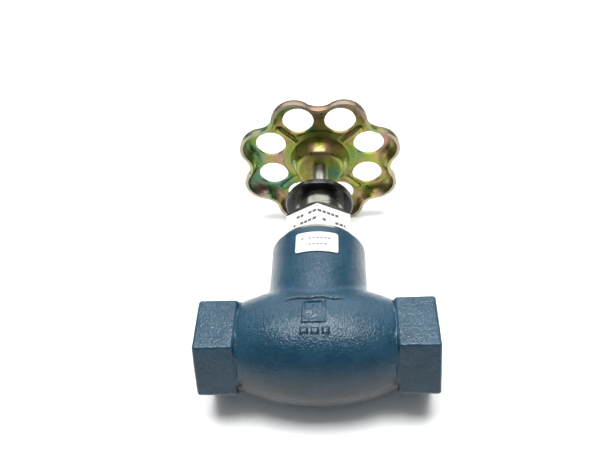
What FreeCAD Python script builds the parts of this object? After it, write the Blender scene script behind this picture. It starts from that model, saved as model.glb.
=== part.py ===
import FreeCAD, Part
import math
import os

# Flow control valve: a threaded globe valve with a rising stem and a stamped handwheel.
# Millimetres. X is the pipe run, +Z is the stem axis, pointing at the handwheel, and -Y is the
# side with the labels. The origin is where the run axis meets the stem axis. The valve is shut.

# ---- driving dimensions -------------------------------------------------------------------

# cast body: bowl, hexagon ends and neck
FACE_TO_FACE = 97.0
HEX_ACROSS_FLATS = 38.0
HEX_LENGTH = 16.7
HEX_EDGE_ROUND = 1.3
BOWL_RADIUS = 25.0
BOWL_END_RADIUS = 18.75
BOWL_WALL = 4.0
ROOT_GROOVE = 0.8
NECK_INSET = 3.0
NECK_TOP = 48.1
NECK_EDGE_ROUND = 1.2
NECK_FILLET = 6.0
NECK_WALL = 5.5
CHAMBER_UNDERCUT = 0.8
CHAMBER_RUNOUT = 1.5
CORE_STRAIGHT_SHARE = 0.35

# ports for 3/4 inch pipe thread
PORT_RADIUS = 12.3
PORT_DEPTH = 15.5
PORT_CHAMFER = 1.4
PORT_RUNOUT = 1.6
THROAT_RADIUS = 10.2

# bridge wall across the bowl, and the seat screwed into it
BRIDGE_TOP = 1.5
BRIDGE_THICKNESS = 5.0
BRIDGE_FLAT_HALF = 14.0
BRIDGE_SLOPE_RISE = 20.0
BRIDGE_TIGHT_BEND = 6.0
BRIDGE_WIDE_BEND = 8.0
SEAT_BORE_RADIUS = 8.5
SEAT_WALL = 2.5
SEAT_BOSS_WALL = 3.5
SEAT_BOSS_DROP = 1.0
SEAT_FLANGE_LIP = 1.6
SEAT_FLANGE_HEIGHT = 2.0
SEAT_CHAMFER = 0.7

# bonnet and gasket
BONNET_THREAD_LENGTH = 12.0
GASKET_THICKNESS = 0.8
GASKET_INSET = 0.2
COLLAR_INSET = 2.5
COLLAR_HEIGHT = 1.5
BONNET_ACROSS_FLATS = 30.5
BONNET_HEX_TOP = 66.0
BONNET_CONE_TOP = 74.5
CONE_ROUND = 1.0
STUB_SHOULDER = 2.5
STUB_TOP = 79.0
SPIGOT_WALL = 2.5
SPIGOT_TOP = 84.0

# stem and its drive thread
STEM_RADIUS = 4.5
DRIVE_THREAD_STEP = 2.45
THREAD_LEAD_IN = 1.2
STEM_THREAD_BOTTOM = 27.0
BUSH_WALL = 2.55
BUSH_LENGTH = 14.0
BUSH_FLANGE_LIP = 2.5
BUSH_FLANGE_HEIGHT = 2.0
TRAVEL = 9.0
RELIEF_WIDTH = 0.6
RELIEF_OVERRUN = 0.7
BACK_SEAT_RISE = 2.5
BUTTON_LIP = 1.05
BUTTON_HEIGHT = 3.0
GUIDE_STEP = 0.2
GUIDE_ABOVE_NUT = 1.0
WAIST_STEP = 1.0
SQUARE_SHARE = 1.4
STUD_RADIUS = 3.0
STUD_END = 116.2
STUD_CHAMFER = 0.7

# stuffing box
PACKING_WIDTH = 3.0
STUFFING_BOTTOM = 65.0
PACKING_WASHER_HEIGHT = 1.5
PACKING_RINGS = 4
PACKING_RING_HEIGHT = 2.0
PACKING_VEE = 1.0
GLAND_THREAD_DEPTH = 4.5
GLAND_HEX_BOTTOM = 85.0
GLAND_HEX_HEIGHT = 4.5
WIPER_WALL = 1.5
WIPER_HEIGHT = 1.6
WIPER_LIP = 0.8

# dust disc and its retaining ring
DISC_RADIUS = 17.0
DISC_THICKNESS = 3.5
DISC_EDGE_ROUND = 0.9
RETAINER_THICKNESS = 1.0
RETAINER_LIP = 1.4
RETAINER_GROOVE = 0.7
RETAINER_GAP = 5.0

# throttle plug
SEAT_DISC_OVERLAP = 2.1
SEAT_DISC_THICKNESS = 3.0
SEAT_DISC_LIP = 1.0
HOLDER_WALL = 1.8
HOLDER_PASSAGE = 1.6
HOLDER_TOP = 16.0
SWIVEL_THREAD_STEP = 1.6
SWIVEL_ACROSS_FLATS = 21.0
SWIVEL_HEX_HEIGHT = 3.5
THRUST_WASHER_BOTTOM = 8.0
THRUST_WASHER_HEIGHT = 1.0
THRUST_WASHER_HOLE = 1.5
THROTTLE_LAND = 1.6
THROTTLE_LENGTH = 11.5
THROTTLE_TIP_RADIUS = 4.8
THROTTLE_BULGE = 0.6
PLUG_STUD_RADIUS = 2.5
PLUG_STUD_PROUD = 1.0
PLUG_WASHER_RADIUS = 4.6
PLUG_WASHER_HEIGHT = 1.0
PLUG_NUT_ACROSS_FLATS = 8.0
PLUG_NUT_HEIGHT = 4.0

# stamped handwheel
SHEET = 1.6
WEB_UNDERSIDE = 114.8
RIM_EDGE_Z = 107.8
LOBES = 8
LOBE_CREST_RADIUS = 44.5
LOBE_DEPTH = 6.5
VALLEY_ROUND = 9.0
RIM_BEND = 7.0
HOLE_RADIUS = 8.03
HOLE_CIRCLE_RADIUS = 28.33
HUB_UNDERSIDE = 105.5
HUB_FLOOR_RADIUS = 12.4
HUB_MOUTH_RADIUS = 16.2
HUB_STEP_RADIUS = 20.0
HUB_STEP_RUN = 1.0
HUB_STEP_DEPTH = 0.6
HUB_FLOOR_BEND = 2.4
HUB_MOUTH_BEND = 1.0
HUB_RECESS_WALL = 0.6
HUB_RECESS_DEPTH = 0.5
RIB_START = 17.5
RIB_END = 29.5
RIB_RADIUS = 2.6
RIB_DROP = 1.4
RIB_GROOVE_RADIUS = 1.5
WHEEL_TURN = 2.2

# wheel fasteners
WHEEL_WASHER_RADIUS = 8.0
WHEEL_WASHER_HEIGHT = 1.2
SPRING_WASHER_RADIUS = 5.4
SPRING_WASHER_HEIGHT = 1.5
SPRING_WASHER_GAP = 1.0
WHEEL_NUT_ACROSS_FLATS = 10.0
WHEEL_NUT_HEIGHT = 5.0
WHEEL_NUT_TURN = 12.0

# a hexagon turned by this much has a corner to the front
CORNER_FRONT = 30.0

# labels
LABEL_THICKNESS = 0.18
NECK_LABEL_BOTTOM = 33.0
NECK_LABEL_TOP = 43.7
NECK_LABEL_LEFT = -8.9
NECK_LABEL_RIGHT = 9.8
NECK_LABEL_ROUND = 1.2
BONNET_LABEL_BOTTOM = 51.0
BONNET_LABEL_TOP = 65.0

# clearances
RUNNING_GAP = 0.05
THREAD_GAP = 0.03
SHUT_GAP = 0.05
LOOSE_GAP = 0.1

# ---- sizes that follow from them ----------------------------------------------------------

HALF_RUN = FACE_TO_FACE / 2.0
HEX_INNER = HALF_RUN - HEX_LENGTH
NECK_RADIUS = BOWL_RADIUS - NECK_INSET
BONNET_THREAD_RADIUS = NECK_RADIUS - NECK_WALL
CHAMBER_RADIUS = BONNET_THREAD_RADIUS + CHAMBER_UNDERCUT
COLLAR_RADIUS = NECK_RADIUS - COLLAR_INSET
SEAT_THREAD_RADIUS = SEAT_BORE_RADIUS + SEAT_WALL
SEAT_FLANGE_RADIUS = SEAT_THREAD_RADIUS + SEAT_FLANGE_LIP
SEAT_BOSS_RADIUS = SEAT_THREAD_RADIUS + SEAT_BOSS_WALL
SEAT_DISC_RADIUS = SEAT_BORE_RADIUS + SEAT_DISC_OVERLAP
HOLDER_RADIUS = SEAT_DISC_RADIUS + HOLDER_WALL
STEM_THREAD_RADIUS = STEM_RADIUS + DRIVE_THREAD_STEP
STEM_GUIDE_RADIUS = STEM_THREAD_RADIUS + GUIDE_STEP
BUTTON_RADIUS = STEM_GUIDE_RADIUS + BUTTON_LIP
SWIVEL_THREAD_RADIUS = BUTTON_RADIUS + SWIVEL_THREAD_STEP
STEM_WAIST_RADIUS = STEM_RADIUS + WAIST_STEP
SQUARE_DRIVE = STEM_RADIUS * SQUARE_SHARE
BUSH_RADIUS = STEM_THREAD_RADIUS + BUSH_WALL
BUSH_FLANGE_RADIUS = BUSH_RADIUS + BUSH_FLANGE_LIP
STUFFING_RADIUS = STEM_RADIUS + PACKING_WIDTH
GLAND_ACROSS_FLATS = 2 * STUFFING_RADIUS
WIPER_RADIUS = STEM_RADIUS + WIPER_WALL
SPIGOT_RADIUS = STUFFING_RADIUS + SPIGOT_WALL
STUB_RADIUS = SPIGOT_RADIUS + STUB_SHOULDER
RETAINER_RADIUS = SPIGOT_RADIUS + RETAINER_LIP
HUB_RECESS_RADIUS = STEM_RADIUS + HUB_RECESS_WALL
VALLEY_RADIUS = LOBE_CREST_RADIUS - LOBE_DEPTH
SEAT_TOP = BRIDGE_TOP + SEAT_FLANGE_HEIGHT
BRIDGE_BOTTOM = BRIDGE_TOP - BRIDGE_THICKNESS
SEAT_BOTTOM = BRIDGE_BOTTOM - SEAT_BOSS_DROP
BONNET_BOTTOM = NECK_TOP - BONNET_THREAD_LENGTH
COLLAR_BOTTOM = NECK_TOP + GASKET_THICKNESS
BONNET_HEX_BOTTOM = COLLAR_BOTTOM + COLLAR_HEIGHT
BUSH_TOP = BONNET_BOTTOM + BUSH_LENGTH
STEM_THREAD_TOP = BUSH_TOP
PACKING_BOTTOM = STUFFING_BOTTOM + PACKING_WASHER_HEIGHT + LOOSE_GAP
PACKING_TOP = PACKING_BOTTOM + PACKING_RING_HEIGHT * PACKING_RINGS
PACKING_MIDDLE = (STEM_RADIUS + STUFFING_RADIUS) / 2.0
GLAND_BOTTOM = SPIGOT_TOP - GLAND_THREAD_DEPTH
DISC_TOP = STUB_TOP + DISC_THICKNESS
SHUT_FACE = SEAT_TOP + SHUT_GAP
SEAT_DISC_TOP = SHUT_FACE + SEAT_DISC_THICKNESS
BUTTON_BOTTOM = THRUST_WASHER_BOTTOM + THRUST_WASHER_HEIGHT
BUTTON_TOP = BUTTON_BOTTOM + BUTTON_HEIGHT
THROTTLE_BOTTOM = SHUT_FACE - THROTTLE_LENGTH
HUB_TOPSIDE = HUB_UNDERSIDE + SHEET
WEB_TOPSIDE = WEB_UNDERSIDE + SHEET
STEM_SHOULDER = HUB_UNDERSIDE + HUB_RECESS_DEPTH

X_AXIS = FreeCAD.Vector(1, 0, 0)
Z_AXIS = FreeCAD.Vector(0, 0, 1)
ORIGIN = FreeCAD.Vector(0, 0, 0)


# ---- helpers ------------------------------------------------------------------------------

def vec(x, y, z):
    return FreeCAD.Vector(x, y, z)


def corner_arc(before, corner, after, radius):
    """Start, middle and end of the arc that rounds one corner of an outline."""
    to_before = (before - corner).normalize()
    to_after = (after - corner).normalize()
    half_angle = to_before.getAngle(to_after) / 2.0
    reach = radius / math.tan(half_angle)
    bisector = (to_before + to_after).normalize()
    centre = corner + bisector * (radius / math.sin(half_angle))
    return corner + to_before * reach, centre - bisector * radius, corner + to_after * reach


def outline(points):
    """A closed wire in the XZ plane through (x, z) or (x, z, rounding radius) points."""
    corners = [vec(point[0], 0, point[1]) for point in points]
    edges = []
    starts = []
    ends = []
    for index, point in enumerate(points):
        corner = corners[index]
        if len(point) == 2:
            starts.append(corner)
            ends.append(corner)
            edges.append(None)
            continue
        before = corners[index - 1]
        after = corners[(index + 1) % len(corners)]
        start, middle, end = corner_arc(before, corner, after, point[2])
        starts.append(start)
        ends.append(end)
        edges.append(Part.Arc(start, middle, end).toShape())
    path = []
    for index, arc in enumerate(edges):
        if arc is not None:
            path.append(arc)
        following = starts[(index + 1) % len(starts)]
        if ends[index].distanceToPoint(following) > 1e-6:
            path.append(Part.LineSegment(ends[index], following).toShape())
    return Part.Wire(path)


def turned(points):
    """A solid turned about Z from its (radius, z) outline."""
    return Part.Face(outline(points)).revolve(ORIGIN, Z_AXIS, 360)


def ring(inner, outer, bottom, top):
    return turned([(inner, bottom), (outer, bottom), (outer, top), (inner, top)])


def rod(radius, bottom, top):
    return Part.makeCylinder(radius, top - bottom, vec(0, 0, bottom), Z_AXIS)


def hexagon(across_flats, bottom, top, first_corner=0.0):
    """A hexagonal prism on Z, with a corner at the angle first_corner from +X."""
    corner_radius = across_flats / math.sqrt(3.0)
    angles = [math.radians(first_corner + 60.0 * step) for step in range(7)]
    corners = [vec(corner_radius * math.cos(a), corner_radius * math.sin(a), bottom) for a in angles]
    return Part.Face(Part.makePolygon(corners)).extrude(vec(0, 0, top - bottom))


def hex_nut(across_flats, bore, bottom, top, first_corner=0.0):
    """A nut whose corners are cut back by the usual cones at both ends."""
    corner_radius = across_flats / math.sqrt(3.0)
    cut = corner_radius - across_flats / 2.0
    rise = cut * math.tan(math.radians(30.0))
    flat_radius = across_flats / 2.0
    envelope = turned([
        (bore, bottom), (flat_radius, bottom), (corner_radius, bottom + rise),
        (corner_radius, top - rise), (flat_radius, top), (bore, top),
    ])
    return hexagon(across_flats, bottom, top, first_corner).common(envelope)


def along_run(shape):
    """Lays a shape made on Z along the pipe run instead."""
    laid = shape.copy()
    laid.rotate(ORIGIN, vec(0, 1, 0), 90)
    return laid


def spun(shape, angle):
    turned_copy = shape.copy()
    turned_copy.rotate(ORIGIN, Z_AXIS, angle)
    return turned_copy


def mirrored(shape):
    return shape.mirror(ORIGIN, X_AXIS)


# ---- cast body ----------------------------------------------------------------------------

def bowl():
    """The barrel of the body, turned about the run from one long arc."""
    left = vec(-HEX_INNER, 0, BOWL_END_RADIUS)
    right = vec(HEX_INNER, 0, BOWL_END_RADIUS)
    crown = Part.Arc(left, vec(0, 0, BOWL_RADIUS), right).toShape()
    sides = Part.makePolygon([right, vec(HEX_INNER, 0, 0), vec(-HEX_INNER, 0, 0), left])
    section = Part.Face(Part.Wire([crown] + sides.Edges))
    return section.revolve(ORIGIN, X_AXIS, 360)


def hexagon_end():
    """One wrench hexagon with its cast edges rounded, a corner up and a flat to the front."""
    prism = hexagon(HEX_ACROSS_FLATS, HEX_INNER, HALF_RUN)
    prism = prism.makeFillet(HEX_EDGE_ROUND, prism.Edges)
    return along_run(prism)


def neck_and_bowl():
    """The bowl with the round neck grown out of it on a cast fillet."""
    neck = rod(NECK_RADIUS, 0, NECK_TOP)
    joined = bowl().fuse(neck).removeSplitter()
    roots = []
    for edge in joined.Edges:
        box = edge.BoundBox
        on_neck = abs(max(box.XMax, -box.XMin) - NECK_RADIUS) < 0.5
        if on_neck and box.ZMax < NECK_TOP - 1.0 and box.ZMin > 1.0:
            roots.append(edge)
    joined = joined.makeFillet(NECK_FILLET, roots)
    top_edges = [edge for edge in joined.Edges if edge.BoundBox.ZMin > NECK_TOP - 0.01]
    return joined.makeFillet(NECK_EDGE_ROUND, top_edges)


def root_groove():
    """The shallow groove where the bowl runs under a hexagon."""
    outside = BOWL_END_RADIUS + 2 * ROOT_GROOVE
    vee = turned([
        (BOWL_END_RADIUS - ROOT_GROOVE, HEX_INNER), (outside, HEX_INNER),
        (outside, HEX_INNER - 2 * ROOT_GROOVE),
    ])
    return along_run(vee)


def cored_barrel():
    """The cored space in the bowl: a straight barrel that narrows to the throats."""
    middle = BOWL_RADIUS - BOWL_WALL
    end = BOWL_END_RADIUS - BOWL_WALL
    half_length = HEX_INNER - BOWL_WALL
    straight = half_length * CORE_STRAIGHT_SHARE
    return along_run(turned([
        (0, -half_length), (end, -half_length), (middle, -straight), (middle, straight),
        (end, half_length), (0, half_length),
    ]))


def bridge_wall():
    """The S-shaped wall across the bowl: above the inlet, under the outlet."""
    rise = BRIDGE_SLOPE_RISE
    points = [
        (-HEX_INNER, BRIDGE_TOP + rise), (-BRIDGE_FLAT_HALF, BRIDGE_TOP, BRIDGE_TIGHT_BEND),
        (BRIDGE_FLAT_HALF, BRIDGE_TOP, BRIDGE_WIDE_BEND), (HEX_INNER, BRIDGE_TOP - rise),
        (HEX_INNER, BRIDGE_BOTTOM - rise), (BRIDGE_FLAT_HALF, BRIDGE_BOTTOM, BRIDGE_TIGHT_BEND),
        (-BRIDGE_FLAT_HALF, BRIDGE_BOTTOM, BRIDGE_WIDE_BEND), (-HEX_INNER, BRIDGE_BOTTOM + rise),
    ]
    wall = Part.Face(outline(points)).extrude(vec(0, 2.0 * BOWL_RADIUS, 0))
    wall.translate(vec(0, -BOWL_RADIUS, 0))
    boss = rod(SEAT_BOSS_RADIUS, SEAT_BOTTOM, BRIDGE_TOP)
    return wall.fuse(boss)


def flow_passages():
    """The space inside the casting, before the bridge wall is put back."""
    port_back = HALF_RUN - PORT_DEPTH
    port = turned([
        (0, 0), (THROAT_RADIUS, 0), (THROAT_RADIUS, port_back - PORT_RUNOUT), (PORT_RADIUS, port_back),
        (PORT_RADIUS, HALF_RUN - PORT_CHAMFER), (PORT_RADIUS + PORT_CHAMFER, HALF_RUN), (0, HALF_RUN),
    ])
    inlet = along_run(port)
    chamber = turned([
        (0, 0), (CHAMBER_RADIUS, 0), (CHAMBER_RADIUS, BONNET_BOTTOM - CHAMBER_RUNOUT),
        (BONNET_THREAD_RADIUS, BONNET_BOTTOM), (BONNET_THREAD_RADIUS, NECK_TOP), (0, NECK_TOP),
    ])
    return cored_barrel().multiFuse([inlet, mirrored(inlet), chamber])


def valve_body():
    end = hexagon_end()
    shell = neck_and_bowl().multiFuse([end, mirrored(end)])
    groove = root_groove()
    shell = shell.cut(groove).cut(mirrored(groove))
    inside = flow_passages()
    bridge = bridge_wall().common(cored_barrel())
    seat_hole = rod(SEAT_THREAD_RADIUS, SEAT_BOTTOM, BRIDGE_TOP)
    above_seat = rod(HOLDER_RADIUS + HOLDER_PASSAGE, BRIDGE_TOP, NECK_TOP)
    bridge = bridge.cut(seat_hole).cut(above_seat)
    return shell.cut(inside.cut(bridge)).removeSplitter()


def seat_ring():
    """Bronze seat, screwed down into the bridge wall on its own flange."""
    thread = SEAT_THREAD_RADIUS - THREAD_GAP
    return turned([
        (SEAT_BORE_RADIUS, SEAT_BOTTOM), (thread, SEAT_BOTTOM), (thread, BRIDGE_TOP),
        (SEAT_FLANGE_RADIUS, BRIDGE_TOP), (SEAT_FLANGE_RADIUS, SEAT_TOP - SEAT_CHAMFER),
        (SEAT_FLANGE_RADIUS - SEAT_CHAMFER, SEAT_TOP), (SEAT_BORE_RADIUS, SEAT_TOP),
    ])


# ---- bonnet and stuffing box --------------------------------------------------------------

def bonnet_gasket():
    return ring(BONNET_THREAD_RADIUS, COLLAR_RADIUS - GASKET_INSET, NECK_TOP, COLLAR_BOTTOM)


def bonnet():
    """Turned hexagon-bar bonnet, with the stuffing box in its stub and a spigot for the disc."""
    thread = BONNET_THREAD_RADIUS - THREAD_GAP
    corner_radius = BONNET_ACROSS_FLATS / math.sqrt(3.0)
    upper = turned([
        (0, BONNET_HEX_BOTTOM), (corner_radius, BONNET_HEX_BOTTOM), (corner_radius, BONNET_HEX_TOP),
        (STUB_RADIUS, BONNET_CONE_TOP, CONE_ROUND), (STUB_RADIUS, STUB_TOP), (0, STUB_TOP),
    ])
    hexed = upper.common(hexagon(BONNET_ACROSS_FLATS, BONNET_HEX_BOTTOM, STUB_TOP, CORNER_FRONT))
    lower = turned([
        (0, BONNET_BOTTOM), (thread, BONNET_BOTTOM), (thread, COLLAR_BOTTOM),
        (COLLAR_RADIUS, COLLAR_BOTTOM), (COLLAR_RADIUS, BONNET_HEX_BOTTOM), (0, BONNET_HEX_BOTTOM),
    ])
    groove = SPIGOT_RADIUS - RETAINER_GROOVE
    groove_top = DISC_TOP + RETAINER_THICKNESS
    spigot = turned([
        (0, STUB_TOP), (SPIGOT_RADIUS, STUB_TOP), (SPIGOT_RADIUS, DISC_TOP), (groove, DISC_TOP),
        (groove, groove_top), (SPIGOT_RADIUS, groove_top), (SPIGOT_RADIUS, SPIGOT_TOP), (0, SPIGOT_TOP),
    ])
    relief_radius = STEM_THREAD_RADIUS + RELIEF_WIDTH
    relief_top = STEM_THREAD_TOP + TRAVEL + RELIEF_OVERRUN
    stem_hole = STEM_RADIUS + RUNNING_GAP
    bush_hole = BUSH_RADIUS + THREAD_GAP
    flange_hole = BUSH_FLANGE_RADIUS + LOOSE_GAP
    flange_top = BONNET_BOTTOM + BUSH_FLANGE_HEIGHT
    bore = turned([
        (0, BONNET_BOTTOM), (flange_hole, BONNET_BOTTOM), (flange_hole, flange_top),
        (bush_hole, flange_top), (bush_hole, BUSH_TOP), (relief_radius, BUSH_TOP),
        (relief_radius, relief_top), (stem_hole, relief_top + BACK_SEAT_RISE), (stem_hole, STUFFING_BOTTOM),
        (STUFFING_RADIUS, STUFFING_BOTTOM), (STUFFING_RADIUS, SPIGOT_TOP), (0, SPIGOT_TOP),
    ])
    return lower.multiFuse([hexed, spigot]).cut(bore).removeSplitter()


def stem_bush():
    """Bronze bush that carries the stem's drive thread, pressed in from below."""
    hole = STEM_THREAD_RADIUS + RUNNING_GAP
    flange_top = BONNET_BOTTOM + BUSH_FLANGE_HEIGHT
    return turned([
        (hole, BONNET_BOTTOM), (BUSH_FLANGE_RADIUS, BONNET_BOTTOM), (BUSH_FLANGE_RADIUS, flange_top),
        (BUSH_RADIUS, flange_top), (BUSH_RADIUS, BUSH_TOP), (hole, BUSH_TOP),
    ])


def packing_washer():
    """Washer under the packing, with a raised ridge that fits the first ring's hollow."""
    inner = STEM_RADIUS + RUNNING_GAP
    outer = STUFFING_RADIUS - THREAD_GAP
    top = STUFFING_BOTTOM + PACKING_WASHER_HEIGHT
    return turned([
        (inner, STUFFING_BOTTOM), (outer, STUFFING_BOTTOM), (outer, top),
        (PACKING_MIDDLE, top + PACKING_VEE), (inner, top),
    ])


def packing_ring(bottom):
    """One chevron ring, its lips pointing down over the ring below."""
    inner = STEM_RADIUS + RUNNING_GAP
    outer = STUFFING_RADIUS - THREAD_GAP
    top = bottom + PACKING_RING_HEIGHT - LOOSE_GAP
    return turned([
        (inner, bottom), (PACKING_MIDDLE, bottom + PACKING_VEE), (outer, bottom),
        (outer, top), (PACKING_MIDDLE, top + PACKING_VEE), (inner, top),
    ])


def packing_rings():
    bottoms = [PACKING_BOTTOM + PACKING_RING_HEIGHT * index for index in range(PACKING_RINGS)]
    return Part.makeCompound([packing_ring(bottom) for bottom in bottoms])


def gland_follower():
    """Sleeve between the packing and the gland nut."""
    inner = STEM_RADIUS + RUNNING_GAP
    outer = STUFFING_RADIUS - LOOSE_GAP
    return turned([
        (inner, PACKING_TOP), (PACKING_MIDDLE, PACKING_TOP + PACKING_VEE), (outer, PACKING_TOP),
        (outer, GLAND_BOTTOM), (inner, GLAND_BOTTOM),
    ])


def gland_nut():
    """Hexagon nut that presses the packing, with a pocket for the wiper in its top."""
    hex_top = GLAND_HEX_BOTTOM + GLAND_HEX_HEIGHT
    head = hex_nut(GLAND_ACROSS_FLATS, 0, GLAND_HEX_BOTTOM, hex_top, CORNER_FRONT)
    thread = rod(STUFFING_RADIUS - THREAD_GAP, GLAND_BOTTOM, GLAND_HEX_BOTTOM)
    hole = rod(STEM_RADIUS + RUNNING_GAP, GLAND_BOTTOM, hex_top)
    pocket = rod(WIPER_RADIUS, hex_top - WIPER_HEIGHT, hex_top)
    return head.fuse(thread).cut(hole).cut(pocket)


def stem_wiper():
    """Rubber ring in the gland nut's pocket, with a thin lip along the stem."""
    inner = STEM_RADIUS + RUNNING_GAP
    outer = WIPER_RADIUS - THREAD_GAP
    top = GLAND_HEX_BOTTOM + GLAND_HEX_HEIGHT
    bottom = top - WIPER_HEIGHT
    return turned([
        (inner, bottom), (outer, bottom), (outer, top),
        (inner + LOOSE_GAP, top + WIPER_LIP), (inner, top + WIPER_LIP),
    ])


def dust_disc():
    """Round disc on the bonnet's spigot that keeps dirt off the gland."""
    hole = SPIGOT_RADIUS + THREAD_GAP
    return turned([
        (hole, STUB_TOP), (DISC_RADIUS, STUB_TOP, DISC_EDGE_ROUND),
        (DISC_RADIUS, DISC_TOP, DISC_EDGE_ROUND), (hole, DISC_TOP),
    ])


def retaining_ring():
    """Open ring in the spigot's groove that holds the disc down."""
    inner = SPIGOT_RADIUS - RETAINER_GROOVE + THREAD_GAP
    whole = ring(inner, RETAINER_RADIUS, DISC_TOP, DISC_TOP + RETAINER_THICKNESS - THREAD_GAP)
    opening = Part.makeBox(RETAINER_GAP, RETAINER_RADIUS * 2, RETAINER_THICKNESS * 2,
                           vec(-RETAINER_GAP / 2.0, 0, DISC_TOP - RETAINER_THICKNESS / 2.0))
    return whole.cut(opening)


# ---- stem ---------------------------------------------------------------------------------

def stem():
    """Rising stem: swivel button, guide, drive thread, back-seat cone, shank and wheel stud."""
    guide_top = HOLDER_TOP + SWIVEL_HEX_HEIGHT + GUIDE_ABOVE_NUT
    seat_cone = STEM_THREAD_RADIUS - STEM_RADIUS
    shank = turned([
        (0, BUTTON_BOTTOM), (BUTTON_RADIUS, BUTTON_BOTTOM), (BUTTON_RADIUS, BUTTON_TOP),
        (STEM_GUIDE_RADIUS, BUTTON_TOP), (STEM_GUIDE_RADIUS, guide_top),
        (STEM_WAIST_RADIUS, guide_top), (STEM_WAIST_RADIUS, STEM_THREAD_BOTTOM),
        (STEM_THREAD_RADIUS, STEM_THREAD_BOTTOM + THREAD_LEAD_IN),
        (STEM_THREAD_RADIUS, STEM_THREAD_TOP - seat_cone),
        (STEM_RADIUS, STEM_THREAD_TOP), (STEM_RADIUS, STEM_SHOULDER), (0, STEM_SHOULDER),
    ])
    square_top = HUB_TOPSIDE - LOOSE_GAP
    half = SQUARE_DRIVE / 2.0
    height = square_top - STEM_SHOULDER
    square = Part.makeBox(SQUARE_DRIVE, SQUARE_DRIVE, height, vec(-half, -half, STEM_SHOULDER))
    square = square.common(rod(STEM_RADIUS - RUNNING_GAP, STEM_SHOULDER, square_top))
    stud = turned([
        (0, square_top), (STUD_RADIUS, square_top), (STUD_RADIUS, STUD_END - STUD_CHAMFER),
        (STUD_RADIUS - STUD_CHAMFER, STUD_END), (0, STUD_END),
    ])
    return spun(shank.multiFuse([square, stud]), WHEEL_TURN)


# ---- throttle plug ------------------------------------------------------------------------

def plug_holder():
    """Swivel holder: cup for the stem's button above, pocket for the seat disc below."""
    stud_end = THROTTLE_BOTTOM - PLUG_WASHER_HEIGHT - PLUG_NUT_HEIGHT - PLUG_STUD_PROUD
    skirt_bottom = SHUT_FACE + SEAT_DISC_LIP
    body = turned([
        (0, stud_end), (PLUG_STUD_RADIUS, stud_end), (PLUG_STUD_RADIUS, SEAT_DISC_TOP),
        (SEAT_DISC_RADIUS + LOOSE_GAP, SEAT_DISC_TOP), (SEAT_DISC_RADIUS + LOOSE_GAP, skirt_bottom),
        (HOLDER_RADIUS, skirt_bottom), (HOLDER_RADIUS, HOLDER_TOP), (0, HOLDER_TOP),
    ])
    cup = turned([
        (0, THRUST_WASHER_BOTTOM), (BUTTON_RADIUS + RUNNING_GAP, THRUST_WASHER_BOTTOM),
        (BUTTON_RADIUS + RUNNING_GAP, BUTTON_TOP + RUNNING_GAP),
        (SWIVEL_THREAD_RADIUS, BUTTON_TOP + RUNNING_GAP), (SWIVEL_THREAD_RADIUS, HOLDER_TOP),
        (0, HOLDER_TOP),
    ])
    return body.cut(cup)


def thrust_washer():
    outer = BUTTON_RADIUS - LOOSE_GAP
    return ring(THRUST_WASHER_HOLE, outer, THRUST_WASHER_BOTTOM, BUTTON_BOTTOM - RUNNING_GAP)


def swivel_nut():
    """Nut that holds the button in the holder and lets the stem turn."""
    hex_top = HOLDER_TOP + SWIVEL_HEX_HEIGHT
    head = hex_nut(SWIVEL_ACROSS_FLATS, 0, HOLDER_TOP, hex_top)
    thread = rod(SWIVEL_THREAD_RADIUS - THREAD_GAP, BUTTON_TOP + RUNNING_GAP, HOLDER_TOP)
    hole = rod(STEM_GUIDE_RADIUS + RUNNING_GAP, BUTTON_TOP, hex_top)
    return head.fuse(thread).cut(hole)


def seat_disc():
    return ring(PLUG_STUD_RADIUS + THREAD_GAP, SEAT_DISC_RADIUS, SHUT_FACE, SEAT_DISC_TOP)


def throttle_cone():
    """Tapered nose in the seat's bore, which sets how the flow grows with lift."""
    land_radius = SEAT_BORE_RADIUS - 3 * LOOSE_GAP
    land_bottom = SHUT_FACE - THROTTLE_LAND
    bore = PLUG_STUD_RADIUS + THREAD_GAP
    land_end = vec(land_radius, 0, land_bottom)
    tip = vec(THROTTLE_TIP_RADIUS, 0, THROTTLE_BOTTOM)
    middle = (land_end + tip) * 0.5 + vec(THROTTLE_BULGE, 0, 0)
    nose = Part.Arc(land_end, middle, tip).toShape()
    rest = Part.makePolygon([
        tip, vec(bore, 0, THROTTLE_BOTTOM), vec(bore, 0, SHUT_FACE),
        vec(land_radius, 0, SHUT_FACE), land_end,
    ])
    return Part.Face(Part.Wire([nose] + rest.Edges)).revolve(ORIGIN, Z_AXIS, 360)


def plug_washer():
    top = THROTTLE_BOTTOM
    return ring(PLUG_STUD_RADIUS + THREAD_GAP, PLUG_WASHER_RADIUS, top - PLUG_WASHER_HEIGHT, top)


def plug_nut():
    top = THROTTLE_BOTTOM - PLUG_WASHER_HEIGHT
    return hex_nut(PLUG_NUT_ACROSS_FLATS, PLUG_STUD_RADIUS + THREAD_GAP, top - PLUG_NUT_HEIGHT, top)


# ---- stamped handwheel --------------------------------------------------------------------

def on_circle(radius, angle, z):
    return vec(radius * math.cos(angle), radius * math.sin(angle), z)


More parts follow.
